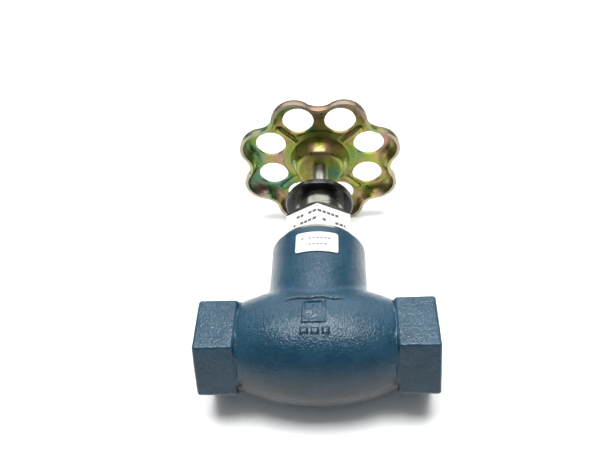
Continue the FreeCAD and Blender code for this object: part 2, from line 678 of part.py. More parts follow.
def lobe_outline(inset, z):
    """The scalloped rim: lobes and valleys as tangent arcs, all moved in by inset.

    The valley arc's centre lies outside the rim on the valley's own ray. The lobe arc's centre
    lies on the lobe's ray, where its circle touches the valley's circle and reaches the crest.
    """
    half_pitch = math.pi / LOBES
    valley_centre = VALLEY_RADIUS + VALLEY_ROUND
    reach = LOBE_CREST_RADIUS + VALLEY_ROUND
    across = reach - valley_centre * math.cos(half_pitch)
    lobe_centre = (reach ** 2 - valley_centre ** 2) / (2.0 * across)
    lobe_round = LOBE_CREST_RADIUS - lobe_centre - inset
    valley_round = VALLEY_ROUND + inset
    edges = []
    for lobe in range(LOBES):
        lobe_angle = 2.0 * math.pi * lobe / LOBES + half_pitch
        centre = on_circle(lobe_centre, lobe_angle, z)
        sides = []
        for side in (-1, 1):
            valley_angle = lobe_angle + side * half_pitch
            valley = on_circle(valley_centre, valley_angle, z)
            sides.append(centre + (valley - centre).normalize() * lobe_round)
        crest_point = on_circle(lobe_centre + lobe_round, lobe_angle, z)
        edges.append(Part.Arc(sides[0], crest_point, sides[1]).toShape())
        bottom_point = on_circle(valley_centre - valley_round, lobe_angle + half_pitch, z)
        next_start = spun(Part.Vertex(sides[0]), 360.0 / LOBES).Point
        edges.append(Part.Arc(sides[1], bottom_point, next_start).toShape())
    return Part.Wire(edges)


def rim_block(inset, bottom, top, bend):
    """The rim's outline as a solid whose top edge is bent over."""
    block = Part.Face(lobe_outline(inset, bottom)).extrude(vec(0, 0, top - bottom))
    top_edges = [edge for edge in block.Edges if edge.BoundBox.ZMin > top - 0.01]
    return block.makeFillet(bend, top_edges)


def hub_outline(offset, floor_bend, mouth_bend):
    """Underside of the pressed hub as (radius, z) points, or its topside for offset = SHEET."""
    web = WEB_UNDERSIDE + offset
    step = web - HUB_STEP_DEPTH
    floor = HUB_UNDERSIDE + offset
    lean = math.atan2(HUB_MOUTH_RADIUS - HUB_FLOOR_RADIUS, WEB_UNDERSIDE - HUB_UNDERSIDE)
    shift = offset / math.cos(lean) - offset * math.tan(lean)
    half_run = HUB_STEP_RUN / 2.0
    return [
        (HUB_FLOOR_RADIUS - shift, floor, floor_bend), (HUB_MOUTH_RADIUS - shift, step, mouth_bend),
        (HUB_STEP_RADIUS - half_run, step), (HUB_STEP_RADIUS + half_run, web),
    ]


def hub():
    """The pressed centre: flat floor, leaning wall and a shallow step up to the web."""
    underside = hub_outline(0.0, HUB_FLOOR_BEND, HUB_MOUTH_BEND)
    topside = hub_outline(SHEET, HUB_FLOOR_BEND - SHEET, HUB_MOUTH_BEND + SHEET)
    edge = HUB_STEP_RADIUS + 2 * HUB_STEP_RUN
    points = [(0, HUB_UNDERSIDE)] + underside + [(edge, WEB_UNDERSIDE), (edge, WEB_TOPSIDE)]
    points = points + topside[::-1] + [(0, HUB_TOPSIDE)]
    return turned(points)


def spoke_rib(radius, axis_z):
    """A rounded bar along one spoke, for the pressed rib or for the groove on its other side."""
    length = RIB_END - RIB_START
    bar = Part.makeCylinder(radius, length, vec(RIB_START, 0, axis_z), X_AXIS)
    end = Part.makeSphere(radius, vec(RIB_END, 0, axis_z))
    return bar.fuse(end)


def handwheel():
    """Sheet wheel: scalloped turned-down rim, round holes, pressed hub and pressed spoke ribs."""
    outer = rim_block(0, RIM_EDGE_Z, WEB_TOPSIDE, RIM_BEND)
    inner = rim_block(SHEET, RIM_EDGE_Z - SHEET, WEB_UNDERSIDE, RIM_BEND - SHEET)
    centre = rod(HUB_STEP_RADIUS + HUB_STEP_RUN, WEB_UNDERSIDE, WEB_TOPSIDE)
    sheet = outer.cut(inner).cut(centre).fuse(hub())
    pitch = 360.0 / LOBES
    rib_axis = WEB_UNDERSIDE - RIB_DROP + RIB_RADIUS
    below_web_middle = rod(LOBE_CREST_RADIUS, HUB_UNDERSIDE, WEB_UNDERSIDE + SHEET / 2.0)
    rib = spoke_rib(RIB_RADIUS, rib_axis).common(below_web_middle)
    groove = spoke_rib(RIB_GROOVE_RADIUS, WEB_TOPSIDE)
    hole_bottom = vec(HOLE_CIRCLE_RADIUS, 0, WEB_UNDERSIDE - SHEET)
    hole = Part.makeCylinder(HOLE_RADIUS, 4 * SHEET, hole_bottom, Z_AXIS)
    rib_angles = [pitch + 2 * pitch * index for index in range(LOBES // 2)]
    hole_angles = [pitch / 2.0 + pitch * index for index in range(LOBES)]
    sheet = sheet.multiFuse([spun(rib, angle) for angle in rib_angles])
    for angle in rib_angles:
        sheet = sheet.cut(spun(groove, angle))
    for angle in hole_angles:
        sheet = sheet.cut(spun(hole, angle))
    recess = rod(HUB_RECESS_RADIUS, HUB_UNDERSIDE - SHEET, STEM_SHOULDER)
    side = SQUARE_DRIVE + 2 * THREAD_GAP
    square = Part.makeBox(side, side, 2 * SHEET, vec(-side / 2.0, -side / 2.0, HUB_UNDERSIDE))
    square = square.common(rod(STEM_RADIUS, HUB_UNDERSIDE, HUB_TOPSIDE))
    return spun(sheet.cut(recess).cut(square).removeSplitter(), WHEEL_TURN)


def wheel_washer():
    top = HUB_TOPSIDE + WHEEL_WASHER_HEIGHT
    return ring(STUD_RADIUS + LOOSE_GAP, WHEEL_WASHER_RADIUS, HUB_TOPSIDE, top)


def spring_washer():
    """Split lock washer between the plain washer and the nut."""
    bottom = HUB_TOPSIDE + WHEEL_WASHER_HEIGHT
    whole = ring(STUD_RADIUS + LOOSE_GAP, SPRING_WASHER_RADIUS, bottom, bottom + SPRING_WASHER_HEIGHT)
    slit = Part.makeBox(SPRING_WASHER_RADIUS * 2, SPRING_WASHER_GAP, SPRING_WASHER_HEIGHT * 3,
                        vec(0, -SPRING_WASHER_GAP / 2.0, bottom - SPRING_WASHER_HEIGHT))
    return whole.cut(slit)


def wheel_nut():
    bottom = HUB_TOPSIDE + WHEEL_WASHER_HEIGHT + SPRING_WASHER_HEIGHT
    top = bottom + WHEEL_NUT_HEIGHT
    return hex_nut(WHEEL_NUT_ACROSS_FLATS, STUD_RADIUS + THREAD_GAP, bottom, top, WHEEL_NUT_TURN)


# ---- labels -------------------------------------------------------------------------------

def neck_label():
    """Small paper label curved round the front of the neck."""
    inner = NECK_RADIUS + THREAD_GAP
    sleeve = ring(inner, inner + LABEL_THICKNESS, NECK_LABEL_BOTTOM, NECK_LABEL_TOP)
    corners = [
        (NECK_LABEL_LEFT, NECK_LABEL_BOTTOM, NECK_LABEL_ROUND),
        (NECK_LABEL_RIGHT, NECK_LABEL_BOTTOM, NECK_LABEL_ROUND),
        (NECK_LABEL_RIGHT, NECK_LABEL_TOP, NECK_LABEL_ROUND),
        (NECK_LABEL_LEFT, NECK_LABEL_TOP, NECK_LABEL_ROUND),
    ]
    window = Part.Face(outline(corners)).extrude(vec(0, -2 * NECK_RADIUS, 0))
    return sleeve.common(window)


def bonnet_label():
    """Paper band wrapped round the bonnet's hexagon."""
    inner_flats = BONNET_ACROSS_FLATS + 2 * THREAD_GAP
    outer_flats = inner_flats + 2 * LABEL_THICKNESS
    outer = hexagon(outer_flats, BONNET_LABEL_BOTTOM, BONNET_LABEL_TOP, CORNER_FRONT)
    return outer.cut(hexagon(inner_flats, BONNET_LABEL_BOTTOM, BONNET_LABEL_TOP, CORNER_FRONT))


# ---- export -------------------------------------------------------------------------------

PIECES = [
    valve_body, seat_ring, bonnet_gasket, bonnet, stem_bush, packing_washer, packing_rings, gland_follower,
    gland_nut, stem_wiper, dust_disc, retaining_ring, neck_label, bonnet_label,
    plug_holder, thrust_washer, swivel_nut, seat_disc, throttle_cone, plug_washer, plug_nut,
    stem, handwheel, wheel_washer, spring_washer, wheel_nut,
]

os.makedirs("parts", exist_ok=True)
for piece in PIECES:
    shape = piece()
    print(piece.__name__, round(shape.Volume, 2), len(shape.Solids), shape.isValid())
    shape.exportStep("parts/" + piece.__name__ + ".step")
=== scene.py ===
import math

import bmesh
import bpy
from mathutils import Matrix, Vector, noise


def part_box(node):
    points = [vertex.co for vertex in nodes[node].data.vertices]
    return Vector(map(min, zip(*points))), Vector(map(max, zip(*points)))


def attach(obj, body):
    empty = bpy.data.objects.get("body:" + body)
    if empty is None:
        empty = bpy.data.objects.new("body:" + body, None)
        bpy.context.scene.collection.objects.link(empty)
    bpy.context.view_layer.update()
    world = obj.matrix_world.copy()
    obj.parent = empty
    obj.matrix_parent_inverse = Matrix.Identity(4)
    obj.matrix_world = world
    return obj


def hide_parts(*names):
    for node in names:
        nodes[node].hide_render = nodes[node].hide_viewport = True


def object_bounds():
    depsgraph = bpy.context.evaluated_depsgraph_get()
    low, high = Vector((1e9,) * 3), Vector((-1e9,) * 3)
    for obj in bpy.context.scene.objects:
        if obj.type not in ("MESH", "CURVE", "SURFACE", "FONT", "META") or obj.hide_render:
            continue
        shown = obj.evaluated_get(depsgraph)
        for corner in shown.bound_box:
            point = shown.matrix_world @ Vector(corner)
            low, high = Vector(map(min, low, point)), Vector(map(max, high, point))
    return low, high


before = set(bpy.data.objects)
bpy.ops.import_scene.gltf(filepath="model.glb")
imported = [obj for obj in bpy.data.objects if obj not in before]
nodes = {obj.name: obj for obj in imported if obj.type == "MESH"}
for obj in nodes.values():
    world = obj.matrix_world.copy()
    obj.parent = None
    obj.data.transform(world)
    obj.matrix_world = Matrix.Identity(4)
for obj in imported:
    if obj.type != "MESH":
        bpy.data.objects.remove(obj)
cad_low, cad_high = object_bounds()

MM = 0.001


# ---- camera -------------------------------------------------------------------------------
# The valve is seen from below its handwheel and a little from its right. In this frame the
# stem points up, so the table it lies on in such a view is a plane behind the valve, and the
# camera looks up at it.

CAMERA_PLACE = Vector((0.01444, -0.21517, -0.11958))
CAMERA_TARGET = Vector((-0.00954, 0.0, 0.06703))
CAMERA_ROLL = 2.33
CAMERA_LENS = 34.53
SENSOR_WIDTH = 36.0
CLIP_NEAR = 0.01
CLIP_FAR = 20.0


def make_camera():
    data = bpy.data.cameras.new("camera")
    data.sensor_width = SENSOR_WIDTH
    data.lens = CAMERA_LENS
    data.clip_start = CLIP_NEAR
    data.clip_end = CLIP_FAR
    camera = bpy.data.objects.new("camera", data)
    bpy.context.scene.collection.objects.link(camera)
    look = (CAMERA_TARGET - CAMERA_PLACE).to_track_quat("-Z", "Y")
    turn = Matrix.Rotation(math.radians(CAMERA_ROLL), 4, "Z")
    camera.matrix_world = Matrix.Translation(CAMERA_PLACE) @ look.to_matrix().to_4x4() @ turn
    bpy.context.scene.camera = camera


make_camera()


# ---- node helpers -------------------------------------------------------------------------

class Shader:
    """A material's node tree with short ways to add what this scene uses."""

    def __init__(self, name):
        self.material = bpy.data.materials.new(name)
        self.material.use_nodes = True
        self.tree = self.material.node_tree
        self.bsdf = self.tree.nodes["Principled BSDF"]
        self.place = self.add("ShaderNodeTexCoord").outputs["Object"]

    def add(self, kind, **settings):
        node = self.tree.nodes.new(kind)
        for key, value in settings.items():
            setattr(node, key, value)
        return node

    def feed(self, socket, value):
        if isinstance(value, bpy.types.NodeSocket):
            self.tree.links.new(value, socket)
        else:
            socket.default_value = value

    def math(self, operation, first, second=0.0, third=0.0):
        node = self.add("ShaderNodeMath", operation=operation)
        self.feed(node.inputs[0], first)
        self.feed(node.inputs[1], second)
        self.feed(node.inputs[2], third)
        return node.outputs[0]

    def noise(self, scale, detail=3.0, rough=0.55, place=None, distortion=0.0):
        node = self.add("ShaderNodeTexNoise")
        self.feed(node.inputs["Vector"], place or self.place)
        self.feed(node.inputs["Scale"], scale)
        self.feed(node.inputs["Detail"], detail)
        self.feed(node.inputs["Roughness"], rough)
        self.feed(node.inputs["Distortion"], distortion)
        return node.outputs["Fac"]

    def stretched(self, scale):
        node = self.add("ShaderNodeMapping")
        self.feed(node.inputs["Vector"], self.place)
        node.inputs["Scale"].default_value = scale
        return node.outputs[0]

    def span(self, value, low, high, out_low=0.0, out_high=1.0):
        node = self.add("ShaderNodeMapRange", interpolation_type="SMOOTHSTEP")
        self.feed(node.inputs["Value"], value)
        node.inputs["From Min"].default_value = low
        node.inputs["From Max"].default_value = high
        node.inputs["To Min"].default_value = out_low
        node.inputs["To Max"].default_value = out_high
        return node.outputs["Result"]

    def mix(self, factor, first, second):
        node = self.add("ShaderNodeMix", data_type="RGBA")
        self.feed(node.inputs["Factor"], factor)
        self.feed(node.inputs[6], first)
        self.feed(node.inputs[7], second)
        return node.outputs[2]

    def ramp(self, value, stops):
        node = self.add("ShaderNodeValToRGB")
        elements = node.color_ramp.elements
        while len(elements) < len(stops):
            elements.new(0.5)
        for element, (position, color) in zip(elements, stops):
            element.position = position
            element.color = color
        self.feed(node.inputs["Fac"], value)
        return node.outputs["Color"]

    def bump(self, height, strength, distance):
        node = self.add("ShaderNodeBump")
        node.inputs["Strength"].default_value = strength
        node.inputs["Distance"].default_value = distance
        self.feed(node.inputs["Height"], height)
        return node.outputs["Normal"]

    def axes(self):
        node = self.add("ShaderNodeSeparateXYZ")
        self.feed(node.inputs[0], self.place)
        return node.outputs[0], node.outputs[1], node.outputs[2]

    def set(self, **sockets):
        for key, value in sockets.items():
            self.feed(self.bsdf.inputs[key.replace("_", " ")], value)
        return self.material


def rgb(red, green, blue):
    return (red, green, blue, 1.0)


# ---- materials ----------------------------------------------------------------------------

# The cold-shut crease that wanders across the front of the casting above its mark: a line of
# height CREASE_HEIGHT that waves and sags to both sides. In millimetres.
CREASE_HEIGHT = 8.6
CREASE_WAVE = 0.40
CREASE_WAVE_RATE = 0.62
CREASE_SAG = 0.0035
CREASE_REACH = 12.5
CREASE_WIDTH = 0.5
CREASE_DEPTH = 1.1


def crease_shade_mask(s):
    """1 in the crease and 0 away from it, for the painted shade that darkens the crease."""
    x, y, z = s.axes()
    across = s.math("DIVIDE", x, MM)
    phase = s.math("MULTIPLY", across, CREASE_WAVE_RATE)
    wave = s.math("MULTIPLY", s.math("SINE", phase), CREASE_WAVE)
    sag = s.math("MULTIPLY", s.math("MULTIPLY", across, across), CREASE_SAG)
    line = s.math("SUBTRACT", s.math("ADD", wave, CREASE_HEIGHT), sag)
    away = s.math("ABSOLUTE", s.math("SUBTRACT", s.math("DIVIDE", z, MM), line))
    near = s.span(away, 0.35 * CREASE_WIDTH, 1.3 * CREASE_WIDTH, 1.0, 0.0)
    inside = s.span(s.math("ABSOLUTE", across), 0.8 * CREASE_REACH, CREASE_REACH, 1.0, 0.0)
    front = s.math("LESS_THAN", y, 0.0)
    return s.math("MULTIPLY", s.math("MULTIPLY", near, inside), front)


def blue_enamel():
    """Glossy enamel over a sand casting: fine grain on coarser lumps, dull in the crease and
    darkened there with painted shade.
    """
    s = Shader("blue_enamel")
    tone = s.noise(90.0, 4.0, 0.6)
    lumps = s.noise(760.0, 3.0, 0.6)
    grains = s.noise(1900.0, 2.0, 0.5)
    base = s.mix(s.span(tone, 0.35, 0.68), rgb(0.017, 0.068, 0.116), rgb(0.029, 0.092, 0.150))
    base = s.mix(s.span(lumps, 0.58, 0.75, 0.0, 0.45), base, rgb(0.010, 0.040, 0.072))
    crease = crease_shade_mask(s)
    # Painted shade: the crease is darkened to stand for the shade that falls in it.
    base = s.mix(s.math("MULTIPLY", crease, 0.85), base, rgb(0.004, 0.012, 0.020))
    gloss = s.span(tone, 0.3, 0.7, 0.10, 0.20)
    rough = s.math("MAXIMUM", gloss, s.math("MULTIPLY", crease, 0.8))
    relief = s.math("MULTIPLY_ADD", grains, 0.7, lumps)
    return s.set(
        Base_Color=base, Roughness=rough, Specular_IOR_Level=0.48,
        Normal=s.bump(relief, 1.0, 0.25 * MM),
    )


# Where the plating changes on the handwheel: radii and heights in millimetres.
SKIRT_START, SKIRT_END = 37.5, 41.0
SKIRT_TOP, SKIRT_BOTTOM = 114.0, 111.5
RIM_EDGE_LOW, RIM_EDGE_HIGH = 107.82, 107.95
RIM_INSIDE = 30.0
MOUTH_START, MOUTH_FULL = 14.5, 16.5
MOUTH_FADE, MOUTH_END = 19.0, 21.5


def zinc_dichromate():
    """Yellow zinc plate: a film whose colour drifts through teal, green, olive and pink.

    The film is thicker towards one side, as it drains from the hung part, and pink in scattered
    patches and on the outside of the rim. The sheared rim is lighter: nearly bare steel, with a
    painted highlight for the glint along its corner.
    """
    s = Shader("zinc_dichromate")
    x, y, z = s.axes()
    squares = s.math("ADD", s.math("MULTIPLY", x, x), s.math("MULTIPLY", y, y))
    out = s.math("SQRT", squares)
    drift = s.noise(44.0, 2.5, 0.5, distortion=0.8)
    fine = s.noise(240.0, 3.0, 0.6)
    film = s.math("MULTIPLY_ADD", x, 1.9, drift)
    film = s.math("MULTIPLY_ADD", s.math("SUBTRACT", fine, 0.5), 0.30, film)
    color = s.ramp(film, [
        (0.30, rgb(0.11, 0.25, 0.15)), (0.40, rgb(0.19, 0.31, 0.06)),
        (0.50, rgb(0.36, 0.36, 0.07)), (0.58, rgb(0.40, 0.34, 0.10)),
        (0.66, rgb(0.48, 0.33, 0.19)), (0.78, rgb(0.46, 0.46, 0.16)),
    ])
    patches = s.noise(62.0, 2.0, 0.5, place=s.stretched((1.0, 1.0, 0.6)))
    color = s.mix(s.span(patches, 0.52, 0.64, 0.0, 0.75), color, rgb(0.46, 0.25, 0.21))
    skirt = s.math("MULTIPLY", s.span(out, SKIRT_START * MM, SKIRT_END * MM),
                   s.span(z, SKIRT_TOP * MM, SKIRT_BOTTOM * MM))
    color = s.mix(s.math("MULTIPLY", skirt, 0.65), color, rgb(0.26, 0.21, 0.17))
    # Painted highlight: the cut face of the rim is lightened, partly for its nearly bare steel and
    # partly for the glint along its corner.
    bare_rim_and_glint = s.math("MULTIPLY", s.span(z, RIM_EDGE_LOW * MM, RIM_EDGE_HIGH * MM, 1.0, 0.0),
                  s.math("GREATER_THAN", out, RIM_INSIDE * MM))
    color = s.mix(s.math("MULTIPLY", bare_rim_and_glint, 0.22), color, rgb(0.74, 0.72, 0.58))
    mouth = s.math("MULTIPLY", s.span(out, MOUTH_START * MM, MOUTH_FULL * MM),
                   s.span(out, MOUTH_END * MM, MOUTH_FADE * MM))
    color = s.mix(s.math("MULTIPLY", mouth, 0.55), color, rgb(0.27, 0.36, 0.05))
    dark_spots = s.span(s.noise(120.0, 4.0, 0.7), 0.60, 0.72, 0.0, 0.5)
    color = s.mix(dark_spots, color, rgb(0.09, 0.09, 0.05))
    scratches = s.noise(1.0, 2.0, 0.5, place=s.stretched((2500.0, 300.0, 2500.0)))
    return s.set(
        Base_Color=color, Metallic=0.85, Roughness=s.span(fine, 0.3, 0.7, 0.26, 0.44),
        Normal=s.bump(s.math("MULTIPLY_ADD", scratches, 0.4, fine), 0.5, 0.12 * MM),
    )


def turned_steel(name, color, rough):
    """Turned bar steel: rings round the stem axis over a faint cloudiness."""
    s = Shader(name)
    rings = s.noise(1.0, 2.0, 0.6, place=s.stretched((60.0, 60.0, 5200.0)))
    cloud = s.noise(130.0, 3.0, 0.55)
    dark = tuple(0.62 * c for c in color[:3]) + (1.0,)
    base = s.mix(s.span(cloud, 0.3, 0.7), dark, color)
    return s.set(
        Base_Color=base, Metallic=1.0, Roughness=s.span(rings, 0.3, 0.7, rough, rough + 0.12),
        Normal=s.bump(rings, 0.25, 0.03 * MM),
    )


def bronze():
    """Machined bronze, hidden inside the valve."""
    s = Shader("bronze")
    cloud = s.noise(160.0, 4.0, 0.6)
    base = s.mix(s.span(cloud, 0.3, 0.7), rgb(0.42, 0.25, 0.10), rgb(0.66, 0.44, 0.20))
    return s.set(Base_Color=base, Metallic=1.0, Roughness=s.span(cloud, 0.3, 0.7, 0.25, 0.42))


def black_gloss():
    """Moulded black plastic, glossy, with the faint swirl that handling leaves."""
    s = Shader("black_gloss")
    dust = s.noise(700.0, 4.0, 0.7)
    swirl = s.noise(180.0, 2.0, 0.5, distortion=1.5)
    dusty = s.span(dust, 0.60, 0.75, 0.0, 0.5)
    base = s.mix(dusty, rgb(0.014, 0.015, 0.014), rgb(0.050, 0.051, 0.047))
    return s.set(
        Base_Color=base, Roughness=s.span(swirl, 0.3, 0.7, 0.14, 0.26),
        Coat_Weight=0.4, Coat_Roughness=0.08, Normal=s.bump(dust, 0.12, 0.05 * MM),
    )


def soft_seal(name, color):
    """Dull, finely grained rubber or fibre."""
    s = Shader(name)
    grain = s.noise(1500.0, 3.0, 0.6)
    dark = tuple(0.6 * c for c in color[:3]) + (1.0,)
    return s.set(
        Base_Color=s.mix(grain, dark, color), Roughness=s.span(grain, 0.3, 0.7, 0.55, 0.8),
        Normal=s.bump(grain, 0.3, 0.05 * MM),
    )


def printed_paper(name, arc_radius, rows, cell, ink, drop):
    """White label paper with rows of plain printed dashes that stand for the small print.

    rows lists each row's height on Z, its dash height and its start and end along the arc, and
    cell is the pitch of the dashes, all in mm. drop is the share of dashes left out.
    """
    s = Shader(name)
    x, y, z = s.axes()
    around = s.math("ARCTAN2", x, s.math("MULTIPLY", y, -1.0))
    arc = s.math("MULTIPLY", around, arc_radius * MM)
    printed = 0.0
    for index, (height, dash, start, end) in enumerate(rows):
        step = s.math("DIVIDE", arc, cell * MM)
        count = s.math("FLOOR", step)
        share = s.math("FRACT", step)
        chance = s.add("ShaderNodeTexWhiteNoise", noise_dimensions="1D")
        s.feed(chance.inputs["W"], s.math("ADD", count, 31.0 * index + 7.0))
        kept = s.math("GREATER_THAN", chance.outputs["Value"], drop)
        off_cell = s.math("ABSOLUTE", s.math("SUBTRACT", share, 0.5))
        in_cell = s.math("LESS_THAN", off_cell, 0.36)
        off_row = s.math("ABSOLUTE", s.math("SUBTRACT", z, height * MM))
        in_row = s.math("LESS_THAN", off_row, dash * MM / 2.0)
        after = s.math("GREATER_THAN", arc, start * MM)
        before = s.math("LESS_THAN", arc, end * MM)
        marks = s.math("MULTIPLY", s.math("MULTIPLY", kept, in_cell), in_row)
        marks = s.math("MULTIPLY", marks, s.math("MULTIPLY", after, before))
        printed = s.math("MAXIMUM", printed, marks)
    fibre = s.noise(1400.0, 4.0, 0.65)
    worn = s.math("MULTIPLY", printed, s.span(fibre, 0.25, 0.5, 0.55, 1.0))
    paper = s.mix(s.span(fibre, 0.3, 0.75), rgb(0.80, 0.81, 0.78), rgb(0.90, 0.91, 0.89))
    return s.set(
        Base_Color=s.mix(worn, paper, ink), Roughness=s.span(fibre, 0.3, 0.7, 0.45, 0.6),
        Normal=s.bump(fibre, 0.15, 0.03 * MM),
    )


def machined_iron():
    """Grey iron where a tap has cut it, with dull patches of old oil."""
    s = Shader("machined_iron")
    cloud = s.noise(300.0, 4.0, 0.6)
    base = s.mix(s.span(cloud, 0.35, 0.65), rgb(0.20, 0.19, 0.17), rgb(0.42, 0.41, 0.38))
    return s.set(Base_Color=base, Metallic=0.9, Roughness=s.span(cloud, 0.3, 0.7, 0.30, 0.52))


def assign(material, *names):
    for name in names:
        data = nodes[name].data
        data.materials.clear()
        data.materials.append(material)


def smooth(data, angle=35.0):
    data.polygons.foreach_set("use_smooth", [True] * len(data.polygons))
    data.set_sharp_from_angle(angle=math.radians(angle))


enamel = blue_enamel()
zinc = zinc_dichromate()
bonnet_steel = turned_steel("bonnet_steel", rgb(0.36, 0.365, 0.31), 0.18)
bright_steel = turned_steel("stem_steel", rgb(0.80, 0.79, 0.74), 0.30)
plug_steel = turned_steel("plug_steel", rgb(0.55, 0.55, 0.54), 0.28)
pale_zinc = turned_steel("pale_zinc", rgb(0.62, 0.57, 0.36), 0.24)
assign(zinc, "handwheel")
assign(bonnet_steel, "bonnet", "gland_nut")
assign(bright_steel, "stem", "retaining_ring")
assign(plug_steel, "plug_holder", "thrust_washer", "swivel_nut", "throttle_cone", "plug_washer",
       "plug_nut")
assign(pale_zinc, "wheel_washer", "spring_washer", "wheel_nut")
assign(bronze(), "seat_ring", "stem_bush", "packing_washer", "gland_follower")
assign(black_gloss(), "dust_disc")
assign(soft_seal("packing", rgb(0.80, 0.80, 0.77)), "packing_rings")
assign(soft_seal("gasket", rgb(0.10, 0.13, 0.12)), "bonnet_gasket")
assign(soft_seal("seal_rubber", rgb(0.02, 0.02, 0.02)), "stem_wiper", "seat_disc")
BAND_ROWS = [(60.9, 1.35, -13.8, 13.8), (56.2, 1.35, -12.8, 14.8)]
LABEL_ROWS = [(40.3, 0.9, -6.6, 7.0), (36.9, 0.9, -3.8, 5.0)]
assign(printed_paper("bonnet_print", 16.5, BAND_ROWS, 2.3, rgb(0.05, 0.05, 0.05), 0.20),
       "bonnet_label")
assign(printed_paper("neck_print", 22.2, LABEL_ROWS, 1.7, rgb(0.30, 0.31, 0.31), 0.10),
       "neck_label")
for node in nodes.values():
    smooth(node.data)


# ---- the painted casting ------------------------------------------------------------------
# The CAD body is the machined form. The casting shown is the same shape, uneven as sand leaves
# it, with a cast flow mark on the front and threads in its ports.

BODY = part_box("valve_body")
HALF_RUN = BODY[1].x
SKIN_VOXEL = 0.46 * MM
PORT_RADIUS = 12.3 * MM
PORT_LENGTH = 14.1 * MM
PORT_WALL = 1.8 * MM
THREAD_DEPTH = 0.95 * MM
THREAD_PITCH = 1.814 * MM
SLEEVE_BACK = 0.15 * MM
SLEEVE_ROOM = 0.1 * MM
STUD_ROOT = 2.95 * MM
STUD_CREST = 3.28 * MM
STUD_BACK = 2.5 * MM
STUD_PITCH = 0.5 * MM
HEX_TOP = 66.0 * MM
HEX_CHAMFER = 2.3 * MM
HEX_CHAMFER_ANGLE = math.radians(30.0)
CONE_TOP = 74.5 * MM
CONE_SHOULDER = 1.2 * MM
STUB_RADIUS = 12.5 * MM

# The cast mark, in millimetres on the front of the bowl: a frame round an arrow, over dashes.
MARK_HEIGHT = 0.9
MARK_SLOPE = 0.5
FRAME_LEFT, FRAME_RIGHT, FRAME_LOW, FRAME_HIGH = -4.0, 3.8, -3.0, 6.0
FRAME_HALF_BAR = 0.45
SHAFT_HALF = (1.6, 0.65)
SHAFT_SHIFT = 1.2
HEAD_LENGTH = 3.0
HEAD_INSET = 1.0
HEAD_SLANT = 0.78
DASH_CENTRES = (-3.8, 0.4, 4.6)
DASH_LEVEL = -6.9
DASH_HALF = (1.3, 1.1)
MARK_REACH = (8.0, 10.0)


def new_object(name, data, material, body="valve"):
    """A visible piece that rides on a body and takes a material slot."""
    piece = bpy.data.objects.new(name, data)
    bpy.context.scene.collection.objects.link(piece)
    data.materials.clear()
    data.materials.append(material)
    smooth(data, 40.0)
    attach(piece, body)
    return piece


def cast_slope(inside):
    """0 to 1 across a slope of MARK_SLOPE, for a distance inside an outline."""
    return min(max(0.5 + inside / MARK_SLOPE, 0.0), 1.0)


def soft_bar(x, z, centre, half):
    """1 inside a bar given by its centre and half sizes, 0 outside, with a cast slope between."""
    return cast_slope(min(half[0] - abs(x - centre[0]), half[1] - abs(z - centre[1])))


def cast_mark(x, z):
    """Height from 0 to 1 of the cast mark at a point of the front, in millimetres."""
    middle, level = (FRAME_LEFT + FRAME_RIGHT) / 2.0, (FRAME_LOW + FRAME_HIGH) / 2.0
    wide = (FRAME_RIGHT - FRAME_LEFT) / 2.0 + FRAME_HALF_BAR
    tall = (FRAME_HIGH - FRAME_LOW) / 2.0 + FRAME_HALF_BAR
    bar = 2.0 * FRAME_HALF_BAR
    outer = soft_bar(x, z, (middle, level), (wide, tall))
    inner = soft_bar(x, z, (middle, level), (wide - bar, tall - bar))
    shaft = soft_bar(x, z, (middle - SHAFT_SHIFT, level), SHAFT_HALF)
    tip = FRAME_RIGHT - HEAD_INSET
    slant = (tip - x) * HEAD_SLANT - abs(z - level)
    head = cast_slope(min(slant, x - (tip - HEAD_LENGTH)))
    dashes = max(soft_bar(x, z, (centre, DASH_LEVEL), DASH_HALF) for centre in DASH_CENTRES)
    return max(min(outer, 1.0 - inner), shaft, head, dashes)


def crease_depth(point):
    """Depth of the cold-shut crease at a point of the casting's front."""
    x, z = point.x / MM, point.z / MM
    if point.y > 0.0 or abs(x) > CREASE_REACH:
        return 0.0
    line = CREASE_HEIGHT + CREASE_WAVE * math.sin(CREASE_WAVE_RATE * x) - CREASE_SAG * x ** 2
    fade = 1.0 - (x / CREASE_REACH) ** 4
    return CREASE_DEPTH * MM * fade * math.exp(-(((z - line) / CREASE_WIDTH) ** 2))


def sand_cast(point):
    """How far the skin lies under the pattern's surface at a point, from 0 to 0.40 mm."""
    broad = noise.noise(point * 70.0) * 0.16
    middle = noise.noise(point * 210.0 + Vector((7.0, 3.0, 1.0))) * 0.05
    fine = noise.noise(point * 560.0 + Vector((1.0, 9.0, 4.0))) * 0.02
    return min(max(0.17 + broad + middle + fine, 0.0), 0.40) * MM


def skin_point(vertex):
    """Where a vertex of the remeshed body goes: out to the thread sleeve, or onto the cast skin."""
    point = vertex.co.copy()
    radius = math.hypot(point.y, point.z)
    port = abs(point.x) - (HALF_RUN - PORT_LENGTH)
    if port > -0.2 * MM and abs(radius - PORT_RADIUS) < 0.35 * MM:
        grow = (PORT_RADIUS + THREAD_DEPTH + SLEEVE_ROOM) / radius
        return Vector((point.x, point.y * grow, point.z * grow))
    if radius <= PORT_RADIUS + PORT_WALL:
        return point
    depth = sand_cast(point) + crease_depth(point)
    across, up = point.x / MM, point.z / MM
    if point.y < 0.0 and abs(across) < MARK_REACH[0] and abs(up) < MARK_REACH[1]:
        depth -= MARK_HEIGHT * MM * cast_mark(across, up)
    return point - vertex.normal * depth


